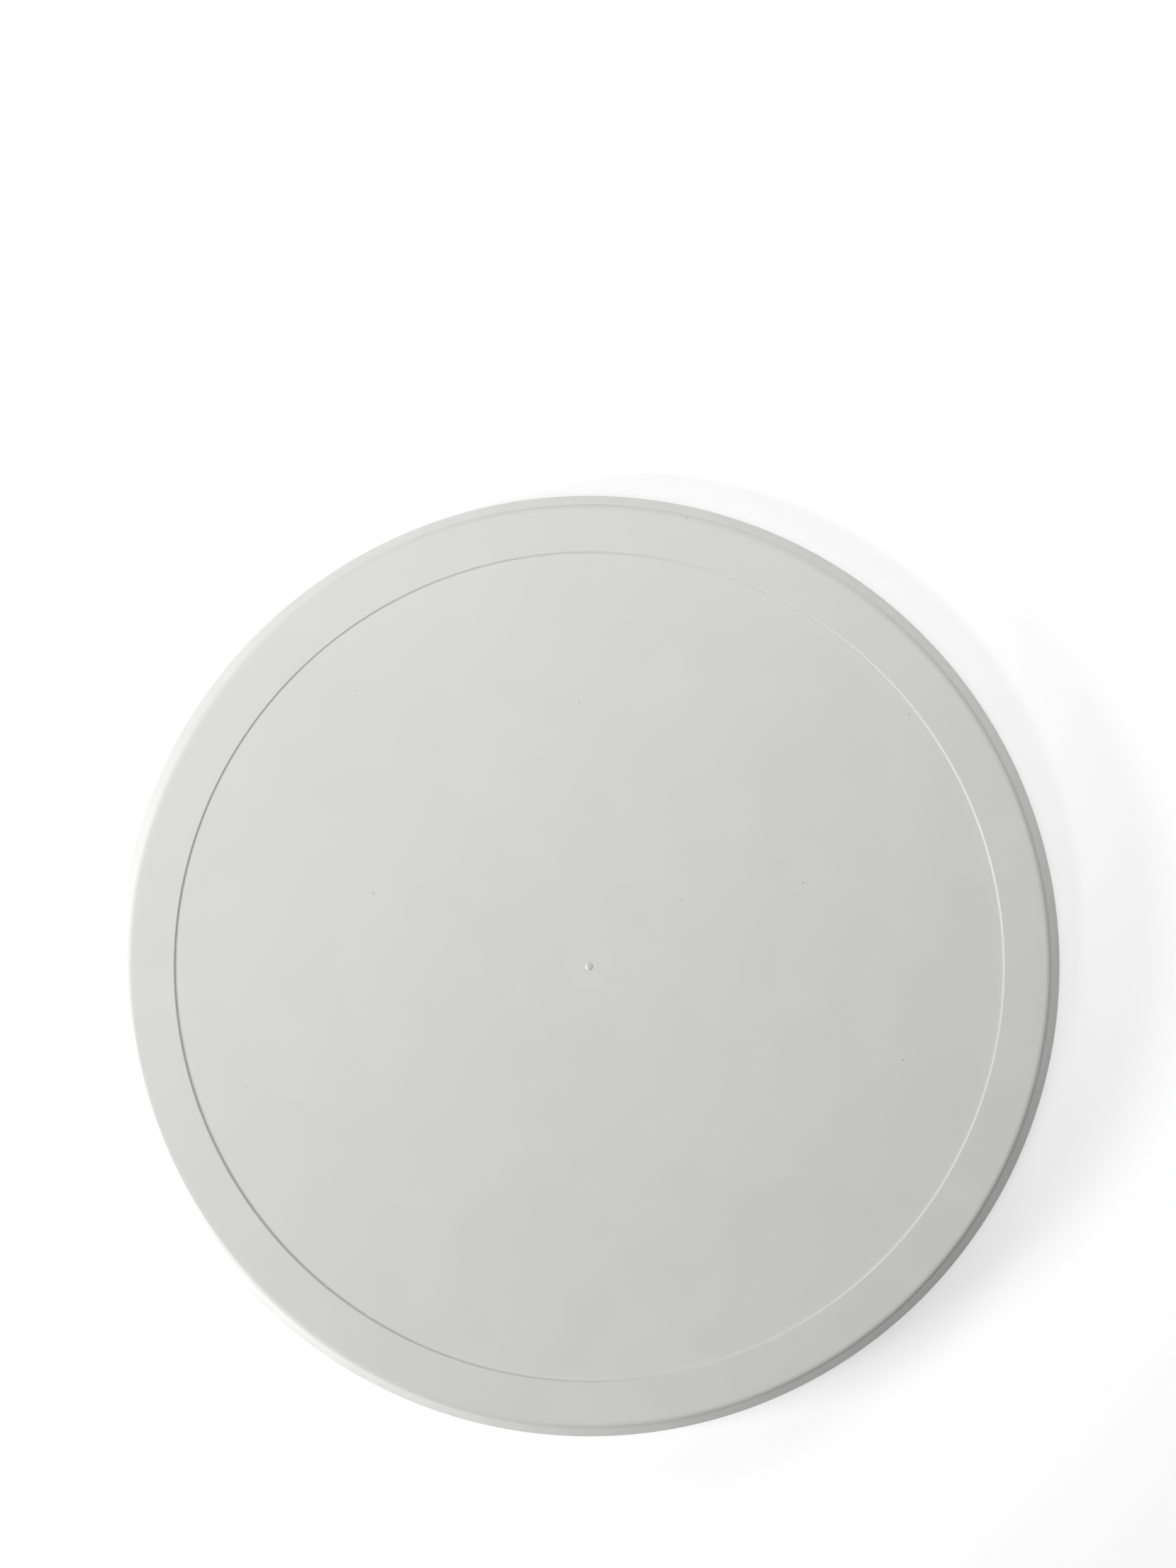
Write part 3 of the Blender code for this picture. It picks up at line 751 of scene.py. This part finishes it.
def base_corners():
    """The base's section: hub, deck with its race, outer wall, and the round walls underneath."""
    small = 0.3 * MM
    return [
        (HUB_BORE, HUB_TOP, small),
        (HUB_OUTER_RADIUS, HUB_TOP, small),
        (HUB_OUTER_RADIUS, DECK_TOP, 0.5 * MM),
        *reversed(race(DECK_TOP, -1)),
        (DECK_CORNER, DECK_TOP, DECK_EDGE_ROUND),
        (base.radius, BASE_BOTTOM, 0.5 * MM),
        (base.radius - BASE_WALL, BASE_BOTTOM, 0.5 * MM),
        (DECK_CORNER - BASE_WALL, DECK_UNDERSIDE, 0.8 * MM),
        *hoop(BALL_CIRCLE, DECK_UNDERSIDE, RACE_HOOP_BOTTOM),
        (WELL_OUTER_RADIUS, DECK_UNDERSIDE, 0.5 * MM),
        (WELL_OUTER_RADIUS, WELL_BOTTOM, 0.4 * MM),
        (WELL_INNER_RADIUS, WELL_BOTTOM, 0.4 * MM),
        (WELL_INNER_RADIUS, DECK_UNDERSIDE, small),
        (HUB_OUTER_RADIUS, DECK_UNDERSIDE, small),
        (HUB_OUTER_RADIUS, HUB_BOTTOM, small),
        (HUB_BORE, HUB_BOTTOM, small),
    ]


def make_base(material):
    root = DECK_UNDERSIDE + SUNK
    tube = [
        (SOCKET_INNER, root, 0),
        (SOCKET_OUTER, root, 0),
        (SOCKET_OUTER, SOCKET_BOTTOM, 0.4 * MM),
        (SOCKET_INNER, SOCKET_BOTTOM, 0.5 * MM),
    ]
    long_span = (WELL_OUTER_RADIUS - SUNK, FOOT_CIRCLE - SOCKET_OUTER + SUNK)
    short_span = (FOOT_CIRCLE + SOCKET_OUTER - SUNK, DECK_CORNER - SUNK)
    tubes = []
    ribs = []
    for turn, place in around(FEET, FOOT_CIRCLE):
        tubes.append(turned("socket", tube, 64, place))
        for span in (long_span, short_span):
            ribs.append(
                rib(span, root, BASE_RIB_BOTTOM, BASE_RIB_WIDTH, BASE_RIB_TIP_WIDTH, turn)
            )
    mesh = combined(turned("base_plate", base_corners(), SIDES), gathered("sockets", tubes), "UNION")
    mesh = combined(mesh, gathered("base_ribs", ribs), "UNION")
    finished("base_moulding", mesh, material, "base", "base_plate")


def make_bush(material):
    bore = SPIGOT_RADIUS + 0.3 * MM
    sleeve = 8 * MM
    flange_bottom = HUB_TOP + 0.3 * MM
    corners = [
        (bore, bush.top, 0.35 * MM),
        (bush.radius, bush.top, 0.3 * MM),
        (bush.radius, flange_bottom, 0.2 * MM),
        (sleeve, flange_bottom, 0.1 * MM),
        (sleeve, bush.bottom, 0.3 * MM),
        (bore, bush.bottom, 0.2 * MM),
    ]
    mesh = turned("pivot_bush", corners, SMALL_SIDES)
    finished("bush_turning", mesh, material, "base", "pivot_bush")


def make_wear_washer(material):
    hole = 6.4 * MM
    corners = [
        (hole, wear_washer.top, 0.15 * MM),
        (wear_washer.radius, wear_washer.top, 0.2 * MM),
        (wear_washer.radius, wear_washer.bottom, 0.15 * MM),
        (hole, wear_washer.bottom, 0.2 * MM),
    ]
    mesh = turned("wear_washer", corners, SMALL_SIDES)
    finished("washer_nylon", mesh, material, "base", "wear_washer")


def make_cap(material):
    """The cap, with a shallow dish under it and a chamfered plug."""
    disc_top = cap.bottom + 1.4 * MM
    plug = WELL_INNER_RADIUS - 0.3 * MM
    dish = 0.25 * MM
    corners = [
        (0, disc_top, 0),
        (plug - 1.8 * MM, disc_top, 0.4 * MM),
        (plug - 1.8 * MM, cap.top, 0.3 * MM),
        (plug, cap.top, 0.5 * MM),
        (plug, disc_top, 0.2 * MM),
        (cap.radius, disc_top, 0.3 * MM),
        (cap.radius, cap.bottom, 0.5 * MM),
        (cap.radius - 3.2 * MM, cap.bottom, 0.2 * MM),
        (cap.radius - 3.5 * MM, cap.bottom + dish, 0.2 * MM),
        (0, cap.bottom + dish, 0),
    ]
    finished(
        "cap_moulding",
        turned("center_cap", corners, SMALL_SIDES),
        material,
        "base",
        "center_cap",
    )


def foot_corners():
    """A foot's section: a rounded head and a plug with two soft barbs."""
    head = 2.2 * MM
    plug, waist = 6.9 * MM, 6.5 * MM
    barb = 0.25 * MM
    corners = [(0, foot.top, 0), (waist - 0.3 * MM, foot.top, 0.5 * MM)]
    for crest in (6.6 * MM, 4.4 * MM):
        corners.append((plug, crest, barb))
        corners.append((waist, crest - 0.5 * MM, 0.15 * MM))
    return corners + [
        (waist, head, 0.3 * MM),
        (foot.radius, head, 0.5 * MM),
        (foot.radius, 0, 0.6 * MM),
        (6.4 * MM, 0, 0.15 * MM),
        (6.2 * MM, 0.25 * MM, 0.15 * MM),
        (5.6 * MM, 0.25 * MM, 0.15 * MM),
        (5.4 * MM, 0, 0.15 * MM),
        (0, 0, 0),
    ]


def make_feet(material):
    for number, (_, place) in enumerate(around(FEET, FOOT_CIRCLE), 1):
        node = f"foot_{number:02d}"
        mesh = turned(node, foot_corners(), SMALL_SIDES, place)
        finished(node + "_rubber", mesh, material, "base", node)


# ---------------------------------------------------------------- the studio

VIEW_HEIGHT = 0.5002  # of the stretch of table that fills the picture from top to bottom
VIEW_RAISED = 0.0581  # how far the picture's middle lies behind the plate's middle
VIEW_LEFT = 0.0004
LENS = 300  # millimetres
SENSOR = 36
VIEW_END = 50
FLOOR_RADIUS = 30
FLOOR_SIDES = 128
FLOOR_DROP = 0.02 * MM  # below the feet
FLOOR_GLOW = 0.22  # keeps the floor white close to the object
BRIGHT_WALL = math.radians(125)  # its direction from the object
WALL_REACH = (-0.8, 0.9)  # cosines to that direction where the walls are darkest and brightest
WALL_LEVELS = (0.03, 0.28)

# Each soft lamp: azimuth against the clock from +X and elevation in degrees, distance, size and watts
SOFT_LAMPS = {
    "key_lamp": (203, 31, 1.25, (0.55, 0.45), 11.4),
    "overhead_lamp": (0, 90, 4.6, (1.35, 1.35), 13),
    "back_lamp": (108, 58, 0.9, (0.6, 0.25), 0.6),
    "side_lamp": (64, 30, 1.5, (0.8, 0.35), 5.8),
}
SPOT_PLACE = (-1.5, -1.5, 3.7)
SPOT_TARGET = (-0.12, 0.58, 0)
SPOT_CONE = math.radians(16.5)
SPOT_RADIUS = 0.3
SPOT_WATTS = 360


def add_lamp(name, lamp, place, toward):
    """Hangs a lamp at a place, turned so that it shines against the direction toward it."""
    item = bpy.data.objects.new(name, lamp)
    item.location = place
    item.rotation_euler = toward.to_track_quat("Z", "Y").to_euler()
    bpy.context.scene.collection.objects.link(item)


def add_soft_lamp(name, azimuth, elevation, distance, size, watts):
    """A rectangular lamp that faces the object."""
    lamp = bpy.data.lights.new(name, "AREA")
    lamp.shape = "RECTANGLE"
    lamp.size, lamp.size_y = size
    lamp.energy = watts
    turn, rise = math.radians(azimuth), math.radians(elevation)
    toward = Vector(
        (math.cos(turn) * math.cos(rise), math.sin(turn) * math.cos(rise), math.sin(rise))
    )
    add_lamp(name, lamp, toward * distance, toward)


def add_table_spot():
    """A lamp with a wide soft edge, brightest at its target and fading across the table."""
    lamp = bpy.data.lights.new("table_spot", "SPOT")
    lamp.spot_size = SPOT_CONE
    lamp.spot_blend = 1
    lamp.shadow_soft_size = SPOT_RADIUS
    lamp.energy = SPOT_WATTS
    add_lamp("table_spot", lamp, SPOT_PLACE, Vector(SPOT_PLACE) - Vector(SPOT_TARGET))


def make_camera():
    camera = bpy.data.cameras.new("camera")
    camera.lens = LENS
    camera.sensor_width = SENSOR
    camera.clip_end = VIEW_END
    item = bpy.data.objects.new("camera", camera)
    item.location = (-VIEW_LEFT, VIEW_RAISED, SKIRT_BOTTOM + VIEW_HEIGHT * LENS / SENSOR)
    bpy.context.scene.collection.objects.link(item)
    bpy.context.scene.camera = item


def make_floor():
    bm = bmesh.new()
    bmesh.ops.create_circle(bm, cap_ends=True, segments=FLOOR_SIDES, radius=FLOOR_RADIUS)
    floor = bpy.data.objects.new("studio_floor", mesh_from(bm, "studio_floor"))
    floor.location.z = -FLOOR_DROP
    floor.data.materials.append(floor_material())
    bpy.context.scene.collection.objects.link(floor)


def make_world():
    """A soft room light, stronger from the wall at the back on the left."""
    world = bpy.data.worlds.new("studio")
    world.use_nodes = True
    bpy.context.scene.world = world
    tree = world.node_tree
    background = tree.nodes["Background"]
    background.inputs["Color"].default_value = (1, 1, 1, 1)
    direction = tree.nodes.new("ShaderNodeTexCoord")
    side = tree.nodes.new("ShaderNodeVectorMath")
    side.operation = "DOT_PRODUCT"
    side.inputs[1].default_value = (math.cos(BRIGHT_WALL), math.sin(BRIGHT_WALL), 0)
    level = tree.nodes.new("ShaderNodeMapRange")
    level.interpolation_type = "SMOOTHSTEP"
    for prefix, (low, high) in (("From", WALL_REACH), ("To", WALL_LEVELS)):
        level.inputs[prefix + " Min"].default_value = low
        level.inputs[prefix + " Max"].default_value = high
    tree.links.new(direction.outputs["Generated"], side.inputs[0])
    tree.links.new(side.outputs["Value"], level.inputs["Value"])
    tree.links.new(level.outputs["Result"], background.inputs["Strength"])


def make_studio():
    make_camera()
    make_floor()
    make_world()
    for name, settings in SOFT_LAMPS.items():
        add_soft_lamp(name, *settings)
    add_table_spot()
    bpy.context.scene.view_settings.view_transform = "Standard"


def make_pieces():
    white = plate_plastic()
    base_white = moulded_plastic("base_white", (0.72, 0.72, 0.71), 0.45, 0.3 * MM, 0.012 * MM).material
    natural = moulded_plastic("cage_natural", (0.78, 0.76, 0.68), 0.4, 0.5 * MM, 0.006 * MM).material
    acetal = moulded_plastic("bush_natural", (0.77, 0.76, 0.69), 0.36, 0.4 * MM, 0.004 * MM).material
    polished = steel("ball_polished", (0.62, 0.63, 0.64), 0.1, 0.2 * MM, 3 * MM)
    plated = steel("zinc_plated", (0.58, 0.59, 0.6), 0.32, 0.15 * MM, 2 * MM)
    feet_rubber = rubber("foot_rubber", (0.055, 0.055, 0.058))

    make_plate(white)
    make_steel_washer(plated)
    make_screw(plated)
    make_cage(natural)
    make_balls(polished)
    make_base(base_white)
    make_bush(acetal)
    make_wear_washer(acetal)
    make_cap(base_white)
    make_feet(feet_rubber)


make_pieces()
make_studio()
